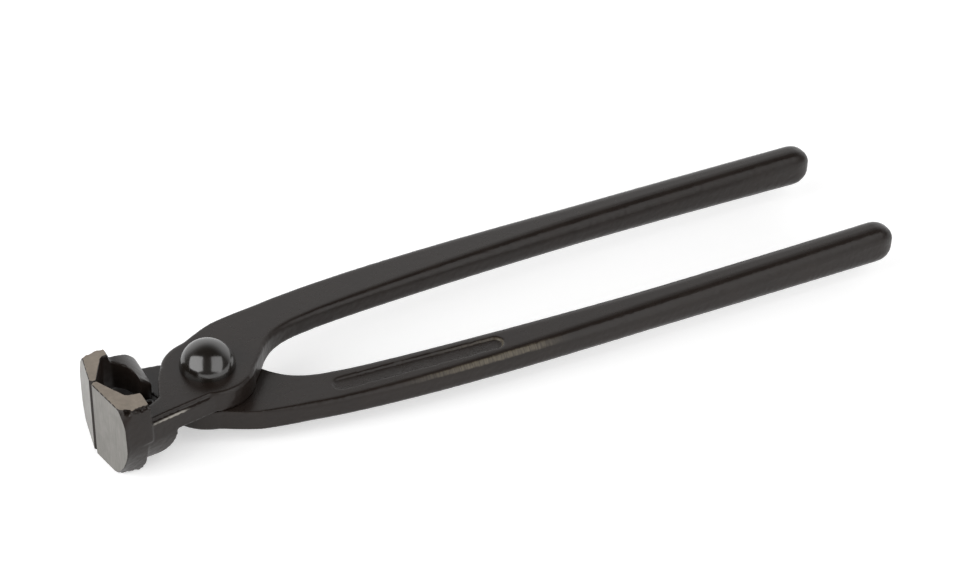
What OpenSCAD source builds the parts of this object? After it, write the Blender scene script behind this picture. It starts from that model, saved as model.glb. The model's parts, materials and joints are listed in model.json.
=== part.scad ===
// End cutting nippers: two forged levers that cross in a half-lap joint, held by one domed rivet.
// Both levers are the same forging. The bottom one is the top one turned half a turn about the
// tool's length. Millimetres, +X from the jaws to the handles, +Z up, the tool lies on its side.

/* [Joint] */
// Thickness of the whole joint, both halves
joint_t = 13; // [10:0.5:18]
// Diameter of the round boss
boss_d = 26.4; // [24:0.2:30]
// Radius of the boss's edge
boss_edge_r = 1; // [0.4:0.1:1.5]
// Width of the ledge beside the raised part of the arm
ledge_w = 1.1; // [0.5:0.1:2]
// Gap between the two lap faces
lap_gap = 0.1; // [0.06:0.02:0.3]
// Width of the slot between a boss and the other lever's neck
neck_slot = 3.2; // [2.4:0.1:4]
// Height of the step where the boss stands above the arm of its jaw
boss_step = 1.2; // [0.6:0.1:2]

/* [Rivet] */
// Diameter of the shank
shank_d = 7; // [5:0.5:9]
// Radial clearance of the shank in both levers
bore_clearance = 0.05; // [0.02:0.01:0.08]
// Diameter of the domed head
head_d = 15.8; // [13:0.2:17]
// Height of the domed head
head_h = 7.6; // [5:0.2:7.8]
// Diameter of the lower head
tail_d = 12; // [10:0.2:14]
// Height of the lower head
tail_h = 2.6; // [1.5:0.1:3.5]
// Gap under each head
head_gap = 0.05; // [0.02:0.01:0.1]

/* [Jaws] */
// Distance from the pivot to the cutting edges
jaw_reach = 34.2; // [30:0.2:38]
// Width of the cutting edges
jaw_w = 24; // [20:0.5:28]
// Half width of the ground front faces at their widest
head_half = 18.8; // [17:0.2:20]
// Half width of a front face at the end that lies over the heel
heel_face_half = 12.6; // [11:0.2:14]
// Half width of a front face at the end that lies over the neck
blade_face_half = 10.2; // [9.6:0.2:12]
// Half width of the closed head behind the front faces at its widest
flank_half = 17.8; // [16.6:0.2:19]
// Half width of the heel's end behind the front face
heel_half = 17; // [14:0.2:17.6]
// Half width of the blade's end behind the front face
blade_half = 12.8; // [11:0.2:15]
// Distance from the cutting edges to where the head reaches those widths
flare_l = 5.6; // [4:0.2:7]
// How late the head narrows towards its ends: 1 is a straight taper
head_curve = 1.6; // [1.2:0.1:2.4]
// Angle of each ground front face, back from square
front_angle = 10; // [5:0.5:14]
// Angle of the inner face behind each cutting edge
inner_angle = 27.5; // [24:0.5:32]
// Thickness behind the cutting edges
edge_t = 1.9; // [1:0.1:2.5]
// Depth of the small groove along the closed cutting edges
edge_groove = 0.7; // [0.3:0.1:1]
// Gap between the closed cutting edges
edge_gap = 0.06; // [0.04:0.02:0.2]
// Half width of the hollow between the jaws
hollow_half = 9.4; // [8:0.2:10]
// Length of a jaw on the side of its neck, measured from the cutting edges
blade_l = 9.2; // [7:0.2:10]
// Length of a jaw on the side of its boss, measured from the cutting edges
heel_l = 11.2; // [9:0.2:12]
// Width of the neck behind the jaws
neck_w = 18; // [16:0.2:21]
// Half width of the closed neck at its ends
neck_end_half = 11.8; // [10:0.2:13.4]
// Half width of the closed neck at its back
neck_half = 15; // [14.4:0.2:16.4]
// Distance from the pivot to the back of the neck
neck_reach = 15.1; // [14:0.1:16]
// Radius of the back corner of the neck
neck_r = 8.4; // [5:0.2:8.6]
// Half width of the arms where they meet the heels
arm_half = 16.7; // [15:0.1:17.4]

/* [Handles] */
// Distance from the pivot to the tips of the handles
handle_reach = 214; // [160:1:260]
// Half spread of the handles, outside to outside
handle_spread = 27.8; // [24:0.2:36]
// Half gap that the handles open out to past their tips
handle_gap = 20; // [17:0.2:23]
// Thickness of a handle at its tip
tip_t = 12.2; // [8:0.2:13]
// Radius of the edges of a handle at its root
root_edge_r = 1.5; // [0.5:0.1:2.2]
// Radius of the edges of a handle at its tip
tip_edge_r = 3.9; // [2.5:0.1:3.9]
// Distance from the pivot to the crotch between the handles
crotch_reach = 16.5; // [16:0.1:19]
// Length of the rounded tip
tip_l = 6; // [4:0.5:9]

/* [Panel] */
// Distance from the pivot to the near end of the panel
panel_start = 31; // [28:1:40]
// Length of the panel
panel_l = 51; // [30:1:70]
// Width of the panel
panel_w = 4.8; // [3:0.2:5.6]
// Depth of the panel
panel_d = 0.7; // [0.3:0.1:1.2]

/* [Hidden] */
finish_black = [0.13, 0.125, 0.125];
rivet_black = [0.09, 0.09, 0.09];
$fn = 96;

// The levers are drawn about the pivot, with the lap plane at height 0
boss_r = boss_d / 2;
half_t = joint_t / 2;
half_w = jaw_w / 2;
lap_z = lap_gap / 2;
bore_r = shank_d / 2 + bore_clearance;
mid_x = (handle_reach - jaw_reach) / 2;
overlap = 0.5;

// Handle outline, seen from above: the outer and the inner edge at a distance x from the pivot
bend_depth = 12.4;
bend_len = 36.5;
crotch_len = 6;
crotch_y = 7.6;
taper_len = 100;
function outer_y(x) = handle_spread - bend_depth * exp(-x / bend_len);
function inner_y(x) = handle_gap
    - (handle_gap - crotch_y) * exp(-(x - crotch_reach) / taper_len)
    - crotch_y * exp(-(x - crotch_reach) / crotch_len);

// The shoulder joins the handle to the boss, between these distances from the pivot
shoulder_x = 8;
sweep_start = crotch_reach - 0.5;
shoulder_slope = 1.2;
function bar_inner_y(x) = x > sweep_start
    ? inner_y(x)
    : inner_y(sweep_start) - shoulder_slope * (sweep_start - x);

// Handle section: thickness and edge radius at a distance x from the pivot
thin_x = 30;
soft_x = 22;
sharp_r = 0.2;
round_share = 1.8;
root_t = half_t - lap_z;
function along(x) = min(1, max(0, (x - thin_x) / (handle_reach - tip_l - thin_x)));
function thick(x) = root_t + (tip_t - root_t) * along(x);
function edge_r(x) = x < soft_x
    ? sharp_r + (root_edge_r - sharp_r) * (x - shoulder_x) / (soft_x - shoulder_x)
    : root_edge_r + (tip_edge_r - root_edge_r) * min(1, along(x) * round_share);

// The tip closes as a quarter round
tip_flat = 0.32;
function past_tip(x) = max(0, (x - handle_reach + tip_l) / tip_l);
function closing(x) = tip_flat + (1 - tip_flat) * sqrt(max(0, 1 - pow(past_tip(x), 2)));

// One ring of the handle: a rounded rectangle across the handle, corner by corner
corner_steps = 5;
corner_signs = [[1, 1], [-1, 1], [-1, -1], [1, -1]];
function ring(x) =
    let (
        k = closing(x),
        mid_y = (outer_y(x) + bar_inner_y(x)) / 2,
        side = (outer_y(x) - bar_inner_y(x)) / 2 * k,
        mid_z = half_t - thick(x) / 2,
        rise = thick(x) / 2 * k,
        r = min(edge_r(x) * k, side * 0.95, rise * 0.95)
    )
    [for (c = [0:3]) for (i = [0:corner_steps])
        let (a = c * 90 + i * 90 / corner_steps)
        [x, mid_y + corner_signs[c][0] * (side - r) + r * cos(a),
            mid_z + corner_signs[c][1] * (rise - r) + r * sin(a)]];

// Places of the rings: close together at the crotch and at the tip
near_l = 14.4;
long_start = sweep_start + near_l;
long_l = handle_reach - tip_l - long_start;
stations = concat(
    [for (i = [0:3]) shoulder_x + (sweep_start - shoulder_x) * i / 4],
    [for (i = [0:9]) sweep_start + near_l * i / 9],
    [for (i = [1:24]) long_start + long_l * i / 24],
    [for (i = [1:7]) handle_reach - tip_l + tip_l * sin(i * 90 / 7)]
);

module handle_bar() {
    rings = [for (x = stations) ring(x)];
    n = len(rings[0]);
    m = len(rings);
    points = [for (r = rings) for (p = r) p];
    sides = [for (j = [0:m - 2]) for (i = [0:n - 1])
        let (a = j * n + i, b = j * n + (i + 1) % n)
        each [[a, b + n, b], [a, a + n, b + n]]];
    caps = [[for (i = [0:n - 1]) i], [for (i = [n - 1:-1:0]) (m - 1) * n + i]];
    polyhedron(points = points, faces = concat(sides, caps), convexity = 6);
}

// Places along the jaw, in the lever's own frame, where the jaw lies on the side of negative y
front_run = tan(front_angle);
inner_run = tan(inner_angle);
hollow_x = -jaw_reach + edge_t + hollow_half * inner_run;
heel_x = -jaw_reach + heel_l;
blade_x = -jaw_reach + blade_l;
slot_r = boss_r + neck_slot;
arm_x = -boss_r - 1.6;
neck_wall = 3.6;
hollow_r = 1.5;
hollow_open = 8;
step_r = 1.2;
margin = 5;
outline_r = 1.6;
outside_y = 1.5 * head_half;
slice_t = 0.01;
ledge_fall = 0.4;
far = 2 * jaw_reach;

// Plan of the jaw without its hollow
module jaw_outline() {
    polygon([
        [-jaw_reach - outside_y * front_run, outside_y],
        [-jaw_reach, 0],
        [-jaw_reach + outside_y * front_run, -outside_y],
        [-neck_reach, -outside_y],
        [-neck_reach, outside_y]
    ]);
}

// What both plans of the jaw leave open: the middle plane and the groove along the cutting edges
module jaw_middle() {
    translate([-far, -edge_gap / 2])
        square(2 * far);
    translate([-jaw_reach, 0])
        rotate(45)
            square(edge_groove * sqrt(2), center = true);
}

// Plan of the arm that carries the jaw beside its own boss
module arm_plan() {
    polygon([
        [0, 0],
        [-boss_r * cos(20), boss_r * sin(20)],
        [arm_x, 0],
        [arm_x - 2.6, -7.3],
        [heel_x + 2.4, -hollow_half + 0.2],
        [heel_x - overlap, -hollow_half - 0.8],
        [heel_x - overlap, -arm_half],
        [-boss_r - 1.8, -neck_half],
        [-boss_r + 4.2, -boss_r - 0.8],
        [-3, -boss_r + 0.35]
    ]);
}

// Plan above the lap plane: the jaw as far back as its heel
module upper_plan() {
    difference() {
        intersection() {
            jaw_outline();
            translate([heel_x - far, -far])
                square([far, 2 * far]);
        }
        offset(r = hollow_r) offset(delta = -hollow_r)
            polygon([
                [-jaw_reach + edge_t - hollow_open * inner_run, hollow_open],
                [hollow_x, -hollow_half],
                [heel_x + margin, -hollow_half - hollow_r],
                [heel_x + margin, hollow_open]
            ]);
        jaw_middle();
    }
}

// Plan below it: the jaw and the neck that reaches round the other lever's boss
module lower_plan() {
    difference() {
        jaw_outline();
        offset(r = hollow_r) offset(delta = -hollow_r)
            polygon([
                [-jaw_reach + edge_t - hollow_open * inner_run, hollow_open],
                [hollow_x, -hollow_half],
                [blade_x + 0.6, -hollow_half - 0.2],
                [-slot_r - neck_wall - hollow_r, -hollow_half + 2.8],
                [-slot_r - neck_wall, -2.5],
                [-slot_r - neck_wall, hollow_open]
            ]);
        jaw_middle();
        circle(r = slot_r);
    }
}

// Outline of the closed head or neck from the front: widest at the lap plane, narrower at its ends
module front_outline(middle, upper, lower, half_h) {
    steps = 8;
    side = [for (i = [-steps:steps])
        let (end = i > 0 ? upper : lower)
        [middle - (middle - end) * pow(abs(i) / steps, head_curve), half_h * i / steps]];
    offset(r = outline_r, $fn = 24) offset(delta = -outline_r)
        polygon(concat(side, [for (i = [2 * steps:-1:0]) [-side[i][0], side[i][1]]]));
}

module from_front(x) {
    translate([x, 0, 0])
        rotate([90, 0, 90])
            children();
}

module slice(x) {
    from_front(x)
        linear_extrude(slice_t)
            children();
}

module flank_outline() {
    front_outline(flank_half, heel_half, blade_half, half_w);
}

// The closed blades flare from the ground faces to the flanks, and draw in again behind them
module blade_shape(l) {
    hull() {
        slice(-jaw_reach)
            front_outline(head_half, heel_face_half, blade_face_half, half_w);
        slice(-jaw_reach + flare_l)
            flank_outline();
    }
    hull() {
        slice(-jaw_reach + flare_l)
            flank_outline();
        slice(-jaw_reach + l)
            front_outline(arm_half + ledge_fall, heel_half - ledge_fall, blade_half, half_w);
    }
}

module neck_shape() {
    hull() {
        slice(blade_x)
            front_outline(arm_half + ledge_fall, neck_end_half, neck_end_half, neck_w / 2 + overlap);
        slice(-neck_reach)
            front_outline(neck_half, neck_end_half, neck_end_half, neck_w / 2 + overlap);
    }
}

// Outline of the heel from the side, above the lap plane
module heel_side() {
    offset(r = step_r) offset(delta = -step_r)
        translate([-jaw_reach - margin, -half_w])
            square([heel_l + margin, 2 * half_w]);
}

// Outline of the blade, the step behind it and the rounded neck, below the lap plane
module neck_side() {
    offset(r = -step_r) offset(delta = step_r)
        union() {
            offset(r = step_r) offset(delta = -step_r)
                translate([-jaw_reach - margin, -half_w])
                    square([blade_l + margin, 2 * half_w]);
            offset(r = neck_r) offset(delta = -neck_r)
                translate([-jaw_reach - margin, -neck_w / 2])
                    square([jaw_reach + margin - neck_reach, neck_w]);
        }
}

module from_side() {
    rotate([90, 0, 0])
        linear_extrude(2 * far, center = true)
            children();
}

// Half joint with its jaw, drawn for the top lever
module jaw() {
    intersection() {
        translate([0, 0, lap_z])
            linear_extrude(half_w)
                upper_plan();
        from_side()
            heel_side();
        blade_shape(heel_l + overlap);
    }
    intersection() {
        translate([0, 0, -half_w - margin])
            linear_extrude(half_w + margin + lap_z)
                lower_plan();
        from_side()
            neck_side();
        union() {
            blade_shape(blade_l + overlap);
            neck_shape();
        }
    }
    translate([0, 0, lap_z])
        linear_extrude(root_t - boss_step)
            arm_plan();
}

// The raised boss with its rounded edge, the raised part of the arm and the shoulder of the handle
rim_r = boss_r - boss_edge_r;
rim_angle = 119;
module boss() {
    translate([0, 0, lap_z])
        rotate_extrude() {
            square([boss_r, root_t - boss_edge_r]);
            square([boss_r - boss_edge_r, root_t]);
            translate([boss_r - boss_edge_r, root_t - boss_edge_r])
                circle(r = boss_edge_r);
        }
    translate([0, 0, lap_z])
        linear_extrude(root_t) {
            intersection() {
                arm_plan();
                translate([0, ledge_w])
                    arm_plan();
            }
            polygon([
                rim_r * [cos(rim_angle), sin(rim_angle)],
                [shoulder_x / 2, outer_y(shoulder_x / 2) - 0.6],
                [shoulder_x, outer_y(shoulder_x)],
                [shoulder_x + overlap, outer_y(shoulder_x + overlap)],
                [shoulder_x + overlap, 0],
                [0, 0]
            ]);
        }
}

// Long panel with round ends in the lap side of the handle
panel_r = panel_w / 2;
module panel() {
    start = panel_start + panel_r;
    end = panel_start + panel_l - panel_r;
    centre = function (x) (outer_y(x) + inner_y(x)) / 2;
    lift = function (x) half_t - thick(x) + panel_d;
    hull() {
        for (x = [start, end])
            translate([x, centre(x), lift(x) - tip_t])
                cylinder(r = panel_r, h = tip_t, $fn = 32);
    }
}

module lever() {
    difference() {
        union() {
            boss();
            jaw();
            handle_bar();
        }
        translate([0, 0, -joint_t])
            cylinder(r = bore_r, h = 2 * joint_t);
        panel();
    }
}

// The part's frame: origin under the middle of the tool, on the surface that it lies on
module place() {
    translate([-mid_x, 0, half_w])
        children();
}

module top_lever() {
    color(finish_black)
        place()
            lever();
}

module bottom_lever() {
    color(finish_black)
        place()
            rotate([180, 0, 0])
                lever();
}

// A cap of a sphere with a given base diameter and height
module dome(d, h) {
    ball_r = (d * d / 4 + h * h) / (2 * h);
    rotate_extrude()
        intersection() {
            translate([0, h - ball_r])
                circle(r = ball_r, $fn = 160);
            square([d / 2, h]);
        }
}

module pivot_rivet() {
    color(rivet_black)
        place() {
            translate([0, 0, -half_t - head_gap])
                cylinder(d = shank_d, h = joint_t + 2 * head_gap);
            translate([0, 0, half_t + head_gap])
                dome(head_d, head_h);
            translate([0, 0, -half_t - head_gap])
                mirror([0, 0, 1])
                    dome(tail_d, tail_h);
        }
}

top_lever();
bottom_lever();
pivot_rivet();
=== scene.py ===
"""End cutting nippers, closed, lying on a pale floor.

Two forged levers with ground jaws cross in a half-lap joint under one domed rivet. The CAD model
gives every size. This file dresses it: the forged skin of each lever, the bare ground steel of its
jaws, the lacquered rivet, and a plain studio. Lengths are in metres where nothing else is said,
+X from the jaws to the handles, +Z up.
"""

import json
import math

import bpy
import numpy as np
from bpy.props import FloatProperty, FloatVectorProperty, IntProperty, PointerProperty
from mathutils import Matrix, Vector


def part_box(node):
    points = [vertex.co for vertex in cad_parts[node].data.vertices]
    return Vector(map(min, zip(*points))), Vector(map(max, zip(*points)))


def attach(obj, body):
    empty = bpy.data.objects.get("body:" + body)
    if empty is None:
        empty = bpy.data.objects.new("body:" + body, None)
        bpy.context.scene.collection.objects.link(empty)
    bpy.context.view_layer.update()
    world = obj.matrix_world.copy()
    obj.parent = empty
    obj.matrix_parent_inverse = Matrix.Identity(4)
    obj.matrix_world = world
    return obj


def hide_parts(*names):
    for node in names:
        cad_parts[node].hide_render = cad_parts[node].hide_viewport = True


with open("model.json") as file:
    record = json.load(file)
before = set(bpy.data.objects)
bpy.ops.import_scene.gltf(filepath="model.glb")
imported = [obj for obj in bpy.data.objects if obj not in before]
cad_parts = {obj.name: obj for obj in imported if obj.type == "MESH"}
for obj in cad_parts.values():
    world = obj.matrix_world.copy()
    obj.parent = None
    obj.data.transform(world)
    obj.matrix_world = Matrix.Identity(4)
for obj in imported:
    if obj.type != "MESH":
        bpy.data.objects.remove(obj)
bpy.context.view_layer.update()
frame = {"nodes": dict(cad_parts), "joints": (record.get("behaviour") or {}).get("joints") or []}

bl_info = {
    "name": "End Cutting Nippers",
    "version": (1, 0, 0),
    "blender": (4, 5, 0),
    "location": "3D View > Sidebar > Nippers",
    "description": "Dresses the levers and the rivet of end cutting nippers and lights them",
    "category": "Object",
}

PIVOT = Vector(frame["joints"][0]["pos_m"])
MM = 0.001


# Sizes and colours


class LeverSizes(bpy.types.PropertyGroup):
    """Sizes and colours of the two forged levers."""

    skin_voxel: FloatProperty(
        name="Skin resolution",
        description="Edge length of the faces that the forged skin is made of",
        default=0.36 * MM,
        unit="LENGTH",
        precision=5,
    )
    edge_rounds: IntProperty(
        name="Edge rounds",
        description="How many times the skin is smoothed, which rounds its edges",
        default=3,
    )
    skin_depth: FloatProperty(
        name="Skin depth",
        description="Depth of the hollows that the forging dies leave on the sides",
        default=0.14 * MM,
        unit="LENGTH",
        precision=5,
    )
    skin_grain: FloatProperty(
        name="Skin grain",
        description="Size of those hollows",
        default=1.5 * MM,
        unit="LENGTH",
        precision=5,
    )
    grind_depth: FloatProperty(
        name="Grinding depth",
        description="How far the ground faces lie inside the model's own",
        default=0.03 * MM,
        unit="LENGTH",
        precision=5,
    )
    stock: FloatProperty(
        name="Grinding stock",
        description="How far the skin stands out where it is then ground away",
        default=0.25 * MM,
        unit="LENGTH",
        precision=5,
    )
    edge_reach: FloatProperty(
        name="Jaw reach",
        description="Distance from the pivot to the cutting edges",
        default=34.2 * MM,
        unit="LENGTH",
        precision=5,
    )
    edge_bevel: FloatProperty(
        name="Edge bevel",
        description="Width of the dark bevel in front of each cutting edge",
        default=1.3 * MM,
        unit="LENGTH",
        precision=5,
    )
    ragged_depth: FloatProperty(
        name="Ragged rim",
        description="Depth of the notches where the forging's rough sides meet the ground ends",
        default=1.3 * MM,
        unit="LENGTH",
        precision=5,
    )
    face_angle: FloatProperty(
        name="Face angle",
        description="Angle of each ground front face, back from square",
        default=math.radians(10),
        unit="ROTATION",
    )
    lacquer: FloatVectorProperty(
        name="Lacquer",
        description="Colour of the black finish",
        subtype="COLOR",
        default=(0.0140, 0.0098, 0.0078),
    )
    worn: FloatVectorProperty(
        name="Belt marks",
        description="Colour of the lacquer over the belt marks on the near handle's edge",
        subtype="COLOR",
        default=(0.105, 0.088, 0.062),
    )
    # Painted highlight: the colour of a glint painted along the outer edge of the ledge beside the
    # near jaw
    ledge_glint_colour: FloatVectorProperty(
        name="Bright edge",
        description="Colour of the worn edge of the ledge beside the near jaw",
        subtype="COLOR",
        default=(0.30, 0.28, 0.25),
    )
    steel: FloatVectorProperty(
        name="Ground steel",
        description="Colour of the bare ground front faces",
        subtype="COLOR",
        default=(0.200, 0.192, 0.177),
    )
    dull_steel: FloatVectorProperty(
        name="Dull steel",
        description="Colour of the rougher ground ends of the jaws",
        subtype="COLOR",
        default=(0.26, 0.222, 0.182),
    )


class RivetSizes(bpy.types.PropertyGroup):
    """Sizes and colour of the rivet."""

    head_height: FloatProperty(
        name="Head height",
        description="Height of the upper dome",
        default=7.6 * MM,
        unit="LENGTH",
        precision=5,
    )
    tail_height: FloatProperty(
        name="Tail height",
        description="Height of the lower dome",
        default=2.6 * MM,
        unit="LENGTH",
        precision=5,
    )
    tail_width: FloatProperty(
        name="Tail width",
        description="Diameter of the lower dome",
        default=12 * MM,
        unit="LENGTH",
        precision=5,
    )
    shank_width: FloatProperty(
        name="Shank width",
        description="Diameter of the shank through both levers",
        default=7 * MM,
        unit="LENGTH",
        precision=5,
    )
    rim_round: FloatProperty(
        name="Rim round",
        description="Radius of the rim of each dome",
        default=0.35 * MM,
        unit="LENGTH",
        precision=5,
    )
    root: FloatProperty(
        name="Shank root",
        description="How far the shank reaches into each dome, with which it is one piece",
        default=0.5 * MM,
        unit="LENGTH",
        precision=5,
    )
    gloss: FloatVectorProperty(
        name="Gloss black",
        description="Colour of the rivet's finish",
        subtype="COLOR",
        default=(0.0100, 0.0080, 0.0062),
    )


class StudioSizes(bpy.types.PropertyGroup):
    """Floor, lamps and camera."""

    floor_size: FloatProperty(
        name="Floor size",
        description="Side of the square floor",
        default=40.0,
        unit="LENGTH",
    )
    floor_colour: FloatVectorProperty(
        name="Floor colour",
        description="Colour of the floor",
        subtype="COLOR",
        default=(0.8, 0.8, 0.8),
    )
    floor_lift: FloatProperty(
        name="Backdrop light",
        description="How much whiter the floor looks to the camera than its own colour",
        default=0.45,
    )
    left_glow: FloatProperty(
        name="Left softbox",
        description="Brightness of the softbox in front of the jaws",
        default=3.1,
    )
    right_glow: FloatProperty(
        name="Right softbox",
        description="Brightness of the softbox beside the near handle",
        default=2.0,
    )
    softbox_distance: FloatProperty(
        name="Softbox distance",
        description="Distance from the pivot to each softbox",
        default=0.9,
        unit="LENGTH",
    )
    backdrop_glow: FloatProperty(
        name="Backdrop glow",
        description="Brightness of the white backdrop behind the tool",
        default=1.2,
    )
    front_glow: FloatProperty(
        name="Front glow",
        description="Brightness of the room on the camera's side",
        default=0.12,
    )
    ceiling_glow: FloatProperty(
        name="Ceiling glow",
        description="Brightness of the dark ceiling",
        default=0.04,
    )


# Modelling helpers

MERGE_DISTANCE = 0.002 * MM
WEIGHT_STEPS = 16
CUT_PRECISION = 0.001 * MM
# A face lies on a cut plane if it faces as the plane does and is no deeper than this
CUT_FACING = 0.999
CUT_DEPTH = 0.01 * MM
SMOOTH_ANGLE = math.radians(38)


def select_only(obj):
    """Leaves obj as the only selected and the active object, in object mode."""
    if bpy.context.mode != "OBJECT":
        bpy.ops.object.mode_set(mode="OBJECT")
    bpy.ops.object.select_all(action="DESELECT")
    obj.select_set(True)
    bpy.context.view_layer.objects.active = obj


def copy_of_node(node, name):
    """A copy of a CAD node as an object of its own, with its loose triangles merged."""
    obj = bpy.data.objects.new(name, frame["nodes"][node].data.copy())
    obj.data.name = name
    obj.data.materials.clear()
    bpy.context.scene.collection.objects.link(obj)
    select_only(obj)
    bpy.ops.object.mode_set(mode="EDIT")
    bpy.ops.mesh.select_all(action="SELECT")
    bpy.ops.mesh.remove_doubles(threshold=MERGE_DISTANCE)
    bpy.ops.mesh.customdata_custom_splitnormals_clear()
    bpy.ops.object.mode_set(mode="OBJECT")
    return obj


def add_modifier(obj, kind, **values):
    """Adds a modifier with these values and applies it."""
    modifier = obj.modifiers.new(kind.title(), kind)
    for key, value in values.items():
        setattr(modifier, key, value)
    select_only(obj)
    bpy.ops.object.modifier_apply(modifier=modifier.name)


def points_of(obj):
    """The places and the normals of an object's vertices, as two arrays."""
    count = len(obj.data.vertices)
    places = np.zeros(count * 3)
    obj.data.vertices.foreach_get("co", places)
    normals = np.zeros(count * 3)
    obj.data.vertex_normals.foreach_get("vector", normals)
    return places.reshape(-1, 3), normals.reshape(-1, 3)


def weigh(obj, name, weights):
    """The name of a new vertex group of obj, with a weight for each vertex in equal steps."""
    group = obj.vertex_groups.new(name=name)
    steps = np.round(np.clip(weights, 0, 1) * WEIGHT_STEPS).astype(int)
    for step in range(1, WEIGHT_STEPS + 1):
        group.add(np.nonzero(steps == step)[0].tolist(), step / WEIGHT_STEPS, "REPLACE")
    return group.name


def cloud_texture(name, size, depth=2, contrast=1.0):
    """Soft noise for a Displace modifier."""
    texture = bpy.data.textures.new(name, "CLOUDS")
    texture.noise_scale = size
    texture.noise_depth = depth
    texture.contrast = contrast
    texture.noise_basis = "BLENDER_ORIGINAL"
    return texture


def grind_flat(obj, point, normal, slot):
    """Cuts obj flat by a plane and gives the new face its own material slot."""
    select_only(obj)
    bpy.ops.object.mode_set(mode="EDIT")
    bpy.ops.mesh.select_mode(type="FACE")
    bpy.ops.mesh.select_all(action="SELECT")
    bpy.ops.mesh.bisect(
        plane_co=point, plane_no=normal, use_fill=True, clear_outer=True, threshold=CUT_PRECISION
    )
    bpy.ops.object.mode_set(mode="OBJECT")
    toward = Vector(normal).normalized()
    limit = toward.dot(point) - CUT_DEPTH
    for face in obj.data.polygons:
        if face.normal.dot(toward) > CUT_FACING and face.center.dot(toward) > limit:
            face.material_index = slot


# Materials

# Share of the forged grain that the flats of a lever keep
FLAT_GRAIN = 0.15
# The darkest tone of the lacquer and how far its tones spread
TONE_LOW, TONE_SPREAD = 0.7, 0.6
# Strength and depth of the bump on each finish
SKIN_BUMP = (0.7, 0.07 * MM)
PANEL_BUMP = (1.0, 0.45 * MM)
STEEL_BUMP = (0.25, 0.02 * MM)
GLOSS_BUMP = (0.12, 0.02 * MM)
# Stretch of the noise for the belt marks, and for the streaks and bands of the ground steel
BELT_STRETCH = (1700.0, 160.0, 160.0)
STREAK_STRETCH = (5000.0, 5000.0, 220.0)
BAND_STRETCH = (900.0, 900.0, 90.0)
# Bounds of the belt marks: the axis, where the marks begin and where they are full.
# Up is the height of the surface's normal.
BELT_LIMITS = (
    ("X", -0.045, -0.018),
    ("X", 0.012, -0.004),
    ("Y", -0.015, -0.020),
    ("Up", 0.3, 0.55),
    ("Up", 0.94, 0.8),
)
# Bounds of the painted highlight, a glint along the outer edge of the ledge beside the near jaw,
# in the same form
LEDGE_GLINT_LIMITS = (
    ("X", -0.1135, -0.1118),
    ("X", -0.1005, -0.1040),
    ("Y", -0.0125, -0.0135),
    ("Z", 0.0160, 0.0167),
    ("Z", 0.01736, 0.01724),
    ("Up", 0.05, 0.25),
    ("Up", 0.995, 0.97),
)


def new_group(name, inputs, outputs):
    """A shader node group with named value or colour sockets, and its two end nodes."""
    group = bpy.data.node_groups.new(name, "ShaderNodeTree")
    for label, kind, value in inputs:
        socket = group.interface.new_socket(name=label, in_out="INPUT", socket_type=kind)
        if value is not None:
            socket.default_value = value
    for label, kind in outputs:
        group.interface.new_socket(name=label, in_out="OUTPUT", socket_type=kind)
    start = group.nodes.new("NodeGroupInput")
    end = group.nodes.new("NodeGroupOutput")
    return group, start, end


def noise(tree, vector, scale, detail=2.0, roughness=0.5):
    """Noise from 0 to 1, mostly near the middle."""
    node = tree.nodes.new("ShaderNodeTexNoise")
    node.inputs["Scale"].default_value = scale
    node.inputs["Detail"].default_value = detail
    node.inputs["Roughness"].default_value = roughness
    tree.links.new(vector, node.inputs["Vector"])
    return node.outputs["Fac"]


def maths(tree, operation, first, second=None, third=None):
    """A Math node; each operand is a socket or a number."""
    node = tree.nodes.new("ShaderNodeMath")
    node.operation = operation
    for socket, value in zip(node.inputs, (first, second, third)):
        if value is None:
            continue
        if isinstance(value, bpy.types.NodeSocket):
            tree.links.new(value, socket)
        else:
            socket.default_value = value
    return node.outputs[0]


def between(tree, value, low, high, to_low=0.0, to_high=1.0):
    """A smooth step from to_low to to_high as value goes from low to high."""
    node = tree.nodes.new("ShaderNodeMapRange")
    node.interpolation_type = "SMOOTHSTEP"
    tree.links.new(value, node.inputs["Value"])
    for label, number in (
        ("From Min", low),
        ("From Max", high),
        ("To Min", to_low),
        ("To Max", to_high),
    ):
        node.inputs[label].default_value = number
    return node.outputs["Result"]


def mix_colours(tree, factor, first, second, blend="MIX"):
    """A colour mix; each colour is a socket or three numbers."""
    node = tree.nodes.new("ShaderNodeMix")
    node.data_type = "RGBA"
    node.blend_type = blend
    if isinstance(factor, bpy.types.NodeSocket):
        tree.links.new(factor, node.inputs["Factor"])
    else:
        node.inputs["Factor"].default_value = factor
    for label, value in (("A", first), ("B", second)):
        socket = [s for s in node.inputs if s.name == label and s.type == "RGBA"][0]
        if isinstance(value, bpy.types.NodeSocket):
            tree.links.new(value, socket)
        else:
            socket.default_value = (*value, 1.0)
    return [s for s in node.outputs if s.type == "RGBA"][0]


def toned(tree, colour, tone):
    """A colour multiplied by a value."""
    grey = tree.nodes.new("ShaderNodeCombineColor")
    for channel in ("Red", "Green", "Blue"):
        tree.links.new(tone, grey.inputs[channel])
    return mix_colours(tree, 1.0, colour, grey.outputs["Color"], "MULTIPLY")


def axes_of(tree, vector):
    """The sockets X, Y and Z of a vector."""
    node = tree.nodes.new("ShaderNodeSeparateXYZ")
    tree.links.new(vector, node.inputs[0])
    return node.outputs


def stretched(tree, vector, stretch):
    """The vector scaled by three numbers, for streaks."""
    node = tree.nodes.new("ShaderNodeMapping")
    node.inputs["Scale"].default_value = stretch
    tree.links.new(vector, node.inputs["Vector"])
    return node.outputs["Vector"]


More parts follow.
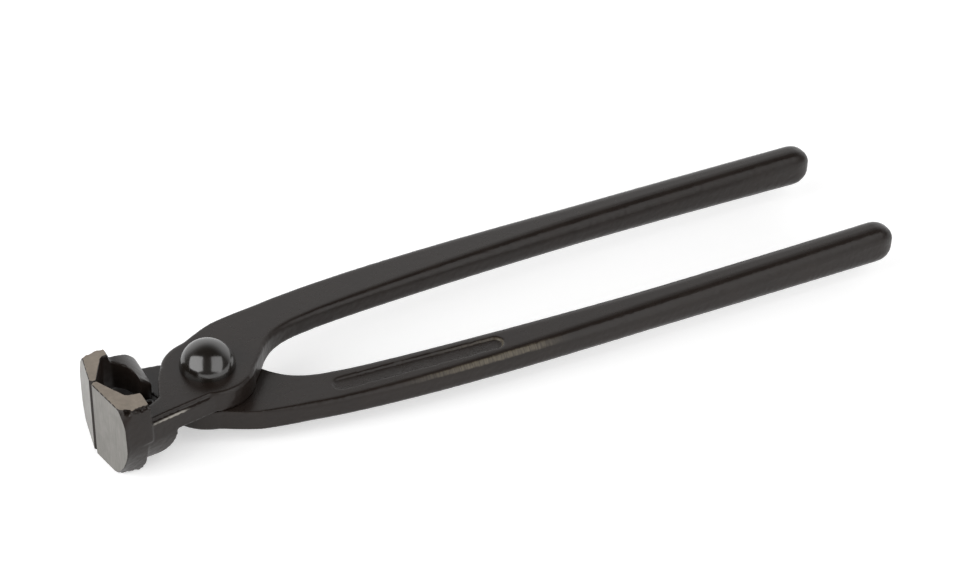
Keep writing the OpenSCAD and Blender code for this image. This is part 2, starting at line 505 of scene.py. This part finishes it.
def forged_skin_group():
    """Forged skin: fine grain and shallow pits, rougher on the sides than on the flats."""
    group, start, end = new_group(
        "Forged skin",
        [("Vector", "NodeSocketVector", None), ("Sides", "NodeSocketFloat", 1.0)],
        [("Height", "NodeSocketFloat"), ("Tone", "NodeSocketFloat")],
    )
    place = start.outputs["Vector"]
    coarse = noise(group, place, scale=900.0, detail=3.0, roughness=0.6)
    fine = noise(group, place, scale=3200.0, detail=2.0, roughness=0.6)
    broad = noise(group, place, scale=120.0, detail=3.0)
    fine_share = 0.35
    lumps = maths(group, "MULTIPLY", coarse, start.outputs["Sides"])
    height = maths(group, "MULTIPLY_ADD", fine, fine_share, lumps)
    tone = maths(group, "MULTIPLY_ADD", broad, TONE_SPREAD, TONE_LOW)
    group.links.new(height, end.inputs["Height"])
    group.links.new(tone, end.inputs["Tone"])
    return group


def ground_steel_group():
    """Bare ground steel: fine streaks along the belt's way and a few deeper scratches."""
    group, start, end = new_group(
        "Ground streaks",
        [("Vector", "NodeSocketVector", None)],
        [("Height", "NodeSocketFloat"), ("Tone", "NodeSocketFloat"), ("Sheen", "NodeSocketFloat")],
    )
    place = start.outputs["Vector"]
    streaks = noise(group, stretched(group, place, STREAK_STRETCH), 1.0, detail=3.0, roughness=0.6)
    bands = noise(group, stretched(group, place, BAND_STRETCH), 1.0)
    cloud = noise(group, place, scale=260.0, detail=3.0, roughness=0.6)
    band_height, band_tone, cloud_tone, darkest = 0.5, 0.3, 0.5, 0.6
    height = maths(group, "MULTIPLY_ADD", bands, band_height, streaks)
    tone = maths(group, "MULTIPLY_ADD", bands, band_tone, darkest)
    tone = maths(group, "MULTIPLY_ADD", cloud, cloud_tone, tone)
    sheen = between(group, streaks, low=0.3, high=0.7, to_low=0.34, to_high=0.5)
    group.links.new(height, end.inputs["Height"])
    group.links.new(tone, end.inputs["Tone"])
    group.links.new(sheen, end.inputs["Sheen"])
    return group


def use_group(tree, group, **links):
    """A node of that group with its inputs linked to these sockets."""
    node = tree.nodes.new("ShaderNodeGroup")
    node.node_tree = group
    for label, value in links.items():
        tree.links.new(value, node.inputs[label])
    return node


def shared_group(name, make):
    """The group of that name, made on first use."""
    return bpy.data.node_groups.get(name) or make()


def new_material(name):
    """A material, its tree, its Principled BSDF, and the object's place and normal as sockets."""
    material = bpy.data.materials.new(name)
    material.use_nodes = True
    tree = material.node_tree
    shader = tree.nodes["Principled BSDF"]
    coordinates = tree.nodes.new("ShaderNodeTexCoord").outputs
    return material, tree, shader, coordinates["Object"], coordinates["Normal"]


def add_bump(tree, shader, height, strength, depth):
    """Adds small relief to a finish."""
    bump = tree.nodes.new("ShaderNodeBump")
    bump.inputs["Strength"].default_value = strength
    bump.inputs["Distance"].default_value = depth
    tree.links.new(height, bump.inputs["Height"])
    tree.links.new(bump.outputs["Normal"], shader.inputs["Normal"])


def worn_spot(tree, mask, place, normal, limits):
    """Narrows a mask to the spot that the limits bound."""
    spot, facing = axes_of(tree, place), axes_of(tree, normal)
    for label, none, full in limits:
        value = facing["Z"] if label == "Up" else spot[label]
        low, high = min(none, full), max(none, full)
        step = between(tree, value, low, high, float(full < none), float(none < full))
        mask = maths(tree, "MULTIPLY", mask, step)
    return mask


def belt_marks(tree, place, normal):
    """Mask of the strokes that a belt left across the near handle's outer top edge."""
    strokes = noise(tree, stretched(tree, place, BELT_STRETCH), 1.0, detail=2.0, roughness=0.6)
    mask = between(tree, strokes, low=0.3, high=0.65, to_low=0.35)
    return worn_spot(tree, mask, place, normal, BELT_LIMITS)


def painted_ledge_glint(tree, place, normal):
    """Mask of the painted highlight, a glint along the outer edge of the ledge beside the near
    jaw.
    """
    mask = between(tree, noise(tree, place, scale=350.0), low=0.25, high=0.5, to_low=0.35)
    return worn_spot(tree, mask, place, normal, LEDGE_GLINT_LIMITS)


def lacquer_material(name, colour, worn, bright, bump):
    """Satin black lacquer over forged steel, with belt marks and a painted highlight on the
    ledge's edge. bump is the strength and the depth of its skin.
    """
    material, tree, shader, place, normal = new_material(name)
    upright = maths(tree, "ABSOLUTE", axes_of(tree, normal)["Z"])
    sides = between(tree, upright, low=0.6, high=0.95, to_low=1.0, to_high=FLAT_GRAIN)
    group = shared_group("Forged skin", forged_skin_group)
    skin = use_group(tree, group, Vector=place, Sides=sides).outputs
    colour_out = toned(tree, colour, skin["Tone"])
    colour_out = mix_colours(tree, belt_marks(tree, place, normal), colour_out, worn)
    # Painted highlight: the glint along the ledge's edge is painted into the colour here
    colour_out = mix_colours(tree, painted_ledge_glint(tree, place, normal), colour_out, bright)
    tree.links.new(colour_out, shader.inputs["Base Color"])
    tone_high = TONE_LOW + TONE_SPREAD
    rough_sides = between(tree, sides, low=FLAT_GRAIN, high=1.0, to_high=0.1)
    roughness = between(tree, skin["Tone"], TONE_LOW, tone_high, to_low=0.21, to_high=0.32)
    tree.links.new(maths(tree, "ADD", roughness, rough_sides), shader.inputs["Roughness"])
    shader.inputs["Specular IOR Level"].default_value = 0.31
    add_bump(tree, shader, skin["Height"], *bump)
    return material


def steel_material(name, colour):
    """Bare steel, ground on a belt."""
    material, tree, shader, place, _ = new_material(name)
    group = shared_group("Ground streaks", ground_steel_group)
    streaks = use_group(tree, group, Vector=place).outputs
    tree.links.new(toned(tree, colour, streaks["Tone"]), shader.inputs["Base Color"])
    shader.inputs["Metallic"].default_value = 0.8
    tree.links.new(streaks["Sheen"], shader.inputs["Roughness"])
    add_bump(tree, shader, streaks["Height"], *STEEL_BUMP)
    return material


def gloss_material(colour):
    """Gloss black lacquer over a smooth dome, with a slight orange peel."""
    material, tree, shader, place, _ = new_material("Gloss black")
    cloud = noise(tree, place, scale=300.0)
    tone_spread, tone_low = 0.5, 0.75
    tone = maths(tree, "MULTIPLY_ADD", cloud, tone_spread, tone_low)
    tree.links.new(toned(tree, colour, tone), shader.inputs["Base Color"])
    roughness = between(tree, cloud, low=0.3, high=0.7, to_low=0.13, to_high=0.2)
    tree.links.new(roughness, shader.inputs["Roughness"])
    shader.inputs["Specular IOR Level"].default_value = 0.9
    peel = noise(tree, place, scale=900.0, detail=1.0, roughness=0.4)
    add_bump(tree, shader, peel, *GLOSS_BUMP)
    return material


# Pieces

# Material slots of a lever
LACQUERED, FRONT_FACE, JAW_END, PANEL_FLOOR = 0, 1, 2, 3
# Ground faces: how squarely the skin faces the grinding plane where it gets stock
GROUND_FACING = 0.8
# Forging hollows: the share that the flats get, and the heights of a normal that are a flat
FLAT_HOLLOWS = 0.12
FLAT_UP, FLAT_UP_RANGE = 0.97, 0.25
# The lap's own faces lie this near to its plane and to the pivot, and have this share
LAP_RADIUS, LAP_REACH, LAP_HOLLOWS = 20 * MM, 1 * MM, 0.2
# In millimetres, the margin beside the ground faces that stays free of hollows
GROUND_MARGIN = 0.3
# Ragged rim: its reach from the jaw's ends in millimetres, and the noise that shapes its notches
RAGGED_REACH = 1.6
RAGGED_GRAIN, RAGGED_CONTRAST, RAGGED_LEVEL = 1.6 * MM, 2.6, 0.8
# It keeps to the outer side of a jaw, clear of the hollow and of the front face
RAGGED_FACING = 0.3
RAGGED_FROM_MIDDLE = 7 * MM
RAGGED_FROM_FRONT = 1.2 * MM
# Share of the ragged rim away from the near jaw's upper end
RAGGED_ELSEWHERE = 0.3
# The stretch of a handle that holds the panel, in columns of a millimetre
PANEL_START, PANEL_END = -60 * MM, -7 * MM
PANEL_COLUMNS = 60
PANEL_FACING = 0.9
# The panel's floor lies this much below the flat
PANEL_DROP = 0.45 * MM
DOME_SEGMENTS = 96
RIM_SEGMENTS = 4


def mark_panel(obj, up):
    """Gives the floor of the handle's panel its own slot. up is 1 where it looks up, else -1."""
    count = len(obj.data.polygons)
    middles, normals = np.zeros(count * 3), np.zeros(count * 3)
    obj.data.polygons.foreach_get("center", middles)
    obj.data.polygons.foreach_get("normal", normals)
    middles, normals = middles.reshape(-1, 3), normals.reshape(-1, 3)
    along = middles[:, 0]
    here = (along > PANEL_START) & (along < PANEL_END) & (normals[:, 2] * up > PANEL_FACING)
    height = (middles[:, 2] - PIVOT.z) * up
    column = np.clip((along - PANEL_START) / MM, 0, PANEL_COLUMNS).astype(int)
    top = np.full(PANEL_COLUMNS + 1, -1.0)
    np.maximum.at(top, column[here], height[here])
    floor = here & (height < top[column] - PANEL_DROP)
    slots = np.zeros(count, dtype=np.int32)
    obj.data.polygons.foreach_get("material_index", slots)
    slots[floor] = PANEL_FLOOR
    obj.data.polygons.foreach_set("material_index", slots)


def add_stock(obj, planes, stock):
    """Moves the skin outwards where it will be ground.

    planes has, for each grinding plane, a label, the axis and sign to move along, how deep each
    vertex lies inside it and how squarely the vertex faces it.
    """
    for label, direction, sign, depth, facing in planes:
        outer = (depth < stock) & (facing > GROUND_FACING)
        add_modifier(
            obj,
            "DISPLACE",
            direction=direction,
            vertex_group=weigh(obj, label, outer.astype(float)),
            mid_level=0.0,
            strength=sign * stock,
        )


def roughen(obj, label, texture, weights, level, strength):
    """Displaces the skin by a texture where the weights say."""
    add_modifier(
        obj,
        "DISPLACE",
        texture=texture,
        texture_coords="LOCAL",
        vertex_group=weigh(obj, label, weights),
        mid_level=level,
        strength=strength,
    )


def forge_lever(node, body, side, sizes, materials):
    """Makes the forged skin of one lever. side is -1 where its jaw lies towards -Y, else 1."""
    obj = copy_of_node(node, "forged_" + node)
    for material in materials:
        obj.data.materials.append(material)
    add_modifier(obj, "REMESH", mode="VOXEL", voxel_size=sizes.skin_voxel, adaptivity=0.0)
    add_modifier(obj, "SMOOTH", factor=0.5, iterations=sizes.edge_rounds)

    lowest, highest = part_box(node)
    face_normal = Vector((-math.cos(sizes.face_angle), side * math.sin(sizes.face_angle), 0))
    edge = Vector((PIVOT.x - sizes.edge_reach, 0, PIVOT.z))

    places, normals = points_of(obj)
    up = normals[:, 2]
    from_front = (np.array(edge) - places) @ np.array(face_normal)
    from_top, from_bottom = highest.z - places[:, 2], places[:, 2] - lowest.z
    planes = (
        ("Front stock", "X", -1, from_front, normals @ np.array(face_normal)),
        ("Upper stock", "Z", 1, from_top, up),
        ("Lower stock", "Z", -1, from_bottom, -up),
    )
    add_stock(obj, planes, sizes.stock)

    sides = np.clip((FLAT_UP - np.abs(up)) / FLAT_UP_RANGE, 0, 1)
    rough = FLAT_HOLLOWS + (1 - FLAT_HOLLOWS) * sides
    from_lap = np.abs(places[:, 2] - PIVOT.z)
    from_pivot = np.hypot(places[:, 0] - PIVOT.x, places[:, 1])
    lapped = (from_pivot < LAP_RADIUS) & (from_lap < LAP_REACH)
    rough = np.where(lapped, rough * LAP_HOLLOWS, rough)
    from_ends = np.minimum(from_bottom, from_top)
    from_ground = np.minimum(from_front, from_ends) / MM
    rough = rough * np.clip(from_ground - GROUND_MARGIN, 0, 1)

    from_middle, facing_out = places[:, 1] * side, normals[:, 1] * side
    ragged = (RAGGED_REACH - from_ends / MM) * (facing_out > RAGGED_FACING)
    ragged = ragged * (from_middle > RAGGED_FROM_MIDDLE) * (from_front > RAGGED_FROM_FRONT)
    roughest = (side < 0) & (places[:, 2] > PIVOT.z)
    ragged = ragged * np.where(roughest, 1.0, RAGGED_ELSEWHERE)

    notches = cloud_texture("Ragged rim " + node, RAGGED_GRAIN, depth=1, contrast=RAGGED_CONTRAST)
    roughen(obj, "Ragged rim", notches, ragged, RAGGED_LEVEL, sizes.ragged_depth)
    hollows = cloud_texture("Forging hollows " + node, sizes.skin_grain)
    roughen(obj, "Rough sides", hollows, rough, level=1.0, strength=sizes.skin_depth)

    grind_flat(obj, edge - face_normal * sizes.grind_depth, face_normal, FRONT_FACE)
    bevel_normal = Vector((-1, -side, 0)).normalized()
    grind_flat(obj, edge + Vector((sizes.edge_bevel, 0, 0)), bevel_normal, LACQUERED)
    for height, way in (
        (highest.z - sizes.grind_depth, 1),
        (lowest.z + sizes.grind_depth, -1),
    ):
        grind_flat(obj, Vector((0, 0, height)), Vector((0, 0, way)), JAW_END)

    mark_panel(obj, side)

    select_only(obj)
    bpy.ops.object.shade_smooth_by_angle(angle=SMOOTH_ANGLE)
    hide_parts(node)
    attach(obj, body)


class NIPPERS_OT_levers(bpy.types.Operator):
    """Forges both levers and grinds their jaws"""

    bl_idname = "nippers.levers"
    bl_label = "Forged levers"

    def execute(self, context):
        sizes = context.scene.nippers_levers
        lacquer_colours = (sizes.lacquer, sizes.worn, sizes.ledge_glint_colour)
        materials = [
            lacquer_material("Black lacquer", *lacquer_colours, SKIN_BUMP),
            steel_material("Ground steel", sizes.steel),
            steel_material("Dull ground steel", sizes.dull_steel),
            lacquer_material("Panel lacquer", *lacquer_colours, PANEL_BUMP),
        ]
        forge_lever("top_lever", "upper", -1, sizes, materials)
        forge_lever("bottom_lever", "lower", 1, sizes, materials)
        return {"FINISHED"}


def add_dome(base, width, height, up, rim):
    """A cap of a sphere that stands on that height, up (1) or down (-1), with a rounded rim."""
    ball = (width * width / 4 + height * height) / (2 * height)
    middle = Vector((PIVOT.x, PIVOT.y, base + up * (height - ball)))
    bpy.ops.mesh.primitive_uv_sphere_add(
        segments=DOME_SEGMENTS, ring_count=DOME_SEGMENTS, radius=ball, location=middle
    )
    dome = bpy.context.object
    bpy.ops.object.transform_apply(location=True, rotation=True, scale=True)
    bpy.ops.object.mode_set(mode="EDIT")
    bpy.ops.mesh.select_all(action="SELECT")
    bpy.ops.mesh.bisect(
        plane_co=(PIVOT.x, PIVOT.y, base), plane_no=(0, 0, up), use_fill=True, clear_inner=True
    )
    bpy.ops.mesh.select_mode(type="EDGE")
    bpy.ops.mesh.select_all(action="DESELECT")
    bpy.ops.object.mode_set(mode="OBJECT")
    for edge in dome.data.edges:
        ends = [dome.data.vertices[i].co for i in edge.vertices]
        edge.select = all(abs(end.z - base) < CUT_PRECISION for end in ends)
    bpy.ops.object.mode_set(mode="EDIT")
    bpy.ops.mesh.bevel(offset=rim, segments=RIM_SEGMENTS, affect="EDGES")
    bpy.ops.object.mode_set(mode="OBJECT")
    return dome


class NIPPERS_OT_rivet(bpy.types.Operator):
    """Adds the rivet: an upper dome, a shank and a lower dome"""

    bl_idname = "nippers.rivet"
    bl_label = "Domed rivet"

    def execute(self, context):
        sizes = context.scene.nippers_rivet
        lowest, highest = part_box("pivot_rivet")
        head_base = highest.z - sizes.head_height
        tail_base = lowest.z + sizes.tail_height
        bpy.ops.object.select_all(action="DESELECT")
        head = add_dome(head_base, highest.x - lowest.x, sizes.head_height, 1, sizes.rim_round)
        bpy.ops.object.select_all(action="DESELECT")
        tail = add_dome(tail_base, sizes.tail_width, sizes.tail_height, -1, sizes.rim_round)
        bpy.ops.object.select_all(action="DESELECT")
        bpy.ops.mesh.primitive_cylinder_add(
            vertices=DOME_SEGMENTS,
            radius=sizes.shank_width / 2,
            depth=head_base - tail_base + 2 * sizes.root,
            location=(PIVOT.x, PIVOT.y, (head_base + tail_base) / 2),
        )
        rivet = bpy.context.object
        bpy.ops.object.transform_apply(location=True, rotation=True, scale=True)
        for dome in (head, tail):
            add_modifier(rivet, "BOOLEAN", operation="UNION", object=dome, solver="EXACT")
            bpy.data.objects.remove(dome)
        rivet.name = "domed_rivet"
        rivet.data.name = rivet.name
        rivet.data.materials.clear()
        rivet.data.materials.append(gloss_material(sizes.gloss))
        select_only(rivet)
        bpy.ops.object.shade_smooth_by_angle(angle=SMOOTH_ANGLE)
        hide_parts("pivot_rivet")
        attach(rivet, "lower")
        return {"FINISHED"}


# Studio

FLOOR_ROUGHNESS = 0.9
# The floor's lift grows to this much between these two distances from its middle
FAR_LIFT = 0.95
LIFT_FROM, LIFT_TO = 0.6, 2.5
# Each softbox: its name, its direction from the pivot, the direction of its height, and its
# width and height as shares of its distance
SOFTBOXES = (
    ("softbox_left", (-0.854, -0.135, 0.502), (0.316, 0.632, 0.708), 1.1, 1.15),
    ("softbox_right", (0.382, -0.763, 0.522), (0.279, 0.634, 0.721), 0.86, 1.15),
)
# Direction of the backdrop, in X and Y
BACKDROP_X, BACKDROP_Y = 0.485, 0.875
# The photograph's viewpoint: its place in millimetres, its right and its up
CAMERA_PLACE = (-287.55, -516.42, 441.88)
CAMERA_RIGHT = (0.88339, -0.46791, 0.02621)
CAMERA_UP = (0.25566, 0.52804, 0.80982)
CAMERA_SENSOR, CAMERA_LENS = 36.0, 91.84
CAMERA_REACH = 100.0
WHITE = (1.0, 1.0, 1.0, 1.0)


def turned(right, up, back, place):
    """The matrix of an object at that place whose X, Y and Z point right, up and back."""
    turn = Matrix((right, up, back)).transposed().to_4x4()
    return Matrix.Translation(place) @ turn


def add_floor(sizes):
    """Adds the floor, which looks whiter to the camera and keeps the tool's shadow."""
    bpy.ops.object.select_all(action="DESELECT")
    bpy.ops.mesh.primitive_plane_add(size=sizes.floor_size, location=(0, 0, 0))
    floor = bpy.context.object
    floor.name = "floor"
    material, tree, shader, place, _ = new_material("Pale floor")
    shader.inputs["Base Color"].default_value = (*sizes.floor_colour, 1.0)
    shader.inputs["Roughness"].default_value = FLOOR_ROUGHNESS
    shader.inputs["Specular IOR Level"].default_value = 0.0
    shader.inputs["Emission Color"].default_value = WHITE
    path = tree.nodes.new("ShaderNodeLightPath").outputs
    seen = maths(tree, "MAXIMUM", path["Is Camera Ray"], path["Is Glossy Ray"])
    seen = maths(tree, "MAXIMUM", seen, path["Is Transmission Ray"])
    reach = tree.nodes.new("ShaderNodeVectorMath")
    reach.operation = "LENGTH"
    tree.links.new(place, reach.inputs[0])
    distance = reach.outputs["Value"]
    lift = between(tree, distance, LIFT_FROM, LIFT_TO, sizes.floor_lift, FAR_LIFT)
    tree.links.new(maths(tree, "MULTIPLY", seen, lift), shader.inputs["Emission Strength"])
    floor.data.materials.append(material)


def add_softbox(name, toward, upright, width, height, glow, distance):
    """An area lamp that faces the pivot from that direction, with its height along upright."""
    lamp = bpy.data.lights.new(name, "AREA")
    lamp.shape = "RECTANGLE"
    lamp.size = width * distance
    lamp.size_y = height * distance
    lamp.energy = glow * math.pi * lamp.size * lamp.size_y
    obj = bpy.data.objects.new(name, lamp)
    back = Vector(toward).normalized()
    across = Vector(upright).cross(back).normalized()
    obj.matrix_world = turned(across, back.cross(across), back, PIVOT + back * distance)
    bpy.context.scene.collection.objects.link(obj)


def light_world(sizes):
    """White backdrop low down behind the tool, a dim room in front and a dark ceiling."""
    world = bpy.data.worlds.new("Studio")
    bpy.context.scene.world = world
    world.use_nodes = True
    tree = world.node_tree
    toward = axes_of(tree, tree.nodes.new("ShaderNodeTexCoord").outputs["Generated"])
    along = maths(tree, "MULTIPLY", toward["X"], BACKDROP_X)
    behind = maths(tree, "MULTIPLY_ADD", toward["Y"], BACKDROP_Y, along)
    front, back = sizes.front_glow, sizes.backdrop_glow
    wall = between(tree, behind, low=0.1, high=0.75, to_low=front, to_high=back)
    low_down = between(tree, toward["Z"], low=0.45, high=1.05, to_low=1.0, to_high=0.0)
    glow = maths(tree, "MULTIPLY_ADD", wall, low_down, sizes.ceiling_glow)
    background = tree.nodes["Background"]
    tree.links.new(glow, background.inputs["Strength"])
    background.inputs["Color"].default_value = WHITE


def add_camera():
    """Adds the camera at the photograph's viewpoint."""
    data = bpy.data.cameras.new("Camera")
    data.sensor_width = CAMERA_SENSOR
    data.lens = CAMERA_LENS
    data.clip_end = CAMERA_REACH
    camera = bpy.data.objects.new("Camera", data)
    right, up = Vector(CAMERA_RIGHT), Vector(CAMERA_UP)
    camera.matrix_world = turned(right, up, right.cross(up), Vector(CAMERA_PLACE) * MM)
    bpy.context.scene.collection.objects.link(camera)
    bpy.context.scene.camera = camera


class NIPPERS_OT_studio(bpy.types.Operator):
    """Adds the floor, the lamps and the camera"""

    bl_idname = "nippers.studio"
    bl_label = "Studio"

    def execute(self, context):
        sizes = context.scene.nippers_studio
        context.scene.view_settings.view_transform = "Standard"
        add_floor(sizes)
        for softbox, glow in zip(SOFTBOXES, (sizes.left_glow, sizes.right_glow)):
            add_softbox(*softbox, glow, sizes.softbox_distance)
        light_world(sizes)
        add_camera()
        return {"FINISHED"}


# Sidebar


class NIPPERS_PT_sidebar(bpy.types.Panel):
    """Lists the sizes and the operators"""

    bl_label = "Nippers"
    bl_space_type = "VIEW_3D"
    bl_region_type = "UI"
    bl_category = "Nippers"

    def draw(self, context):
        for title, owner, action in (
            ("Levers", context.scene.nippers_levers, "nippers.levers"),
            ("Rivet", context.scene.nippers_rivet, "nippers.rivet"),
            ("Studio", context.scene.nippers_studio, "nippers.studio"),
        ):
            box = self.layout.box()
            box.label(text=title)
            for key in owner.__annotations__:
                box.prop(owner, key)
            box.operator(action)


CLASSES = (
    LeverSizes,
    RivetSizes,
    StudioSizes,
    NIPPERS_OT_levers,
    NIPPERS_OT_rivet,
    NIPPERS_OT_studio,
    NIPPERS_PT_sidebar,
)


def register():
    """Registers the classes and their properties"""
    for cls in CLASSES:
        bpy.utils.register_class(cls)
    bpy.types.Scene.nippers_levers = PointerProperty(type=LeverSizes)
    bpy.types.Scene.nippers_rivet = PointerProperty(type=RivetSizes)
    bpy.types.Scene.nippers_studio = PointerProperty(type=StudioSizes)


def unregister():
    """Takes back what register does"""
    del bpy.types.Scene.nippers_studio
    del bpy.types.Scene.nippers_rivet
    del bpy.types.Scene.nippers_levers
    for cls in reversed(CLASSES):
        bpy.utils.unregister_class(cls)


def main():
    """Builds the scene."""
    register()
    bpy.ops.nippers.levers()
    bpy.ops.nippers.rivet()
    bpy.ops.nippers.studio()


if __name__ == "__main__":
    main()
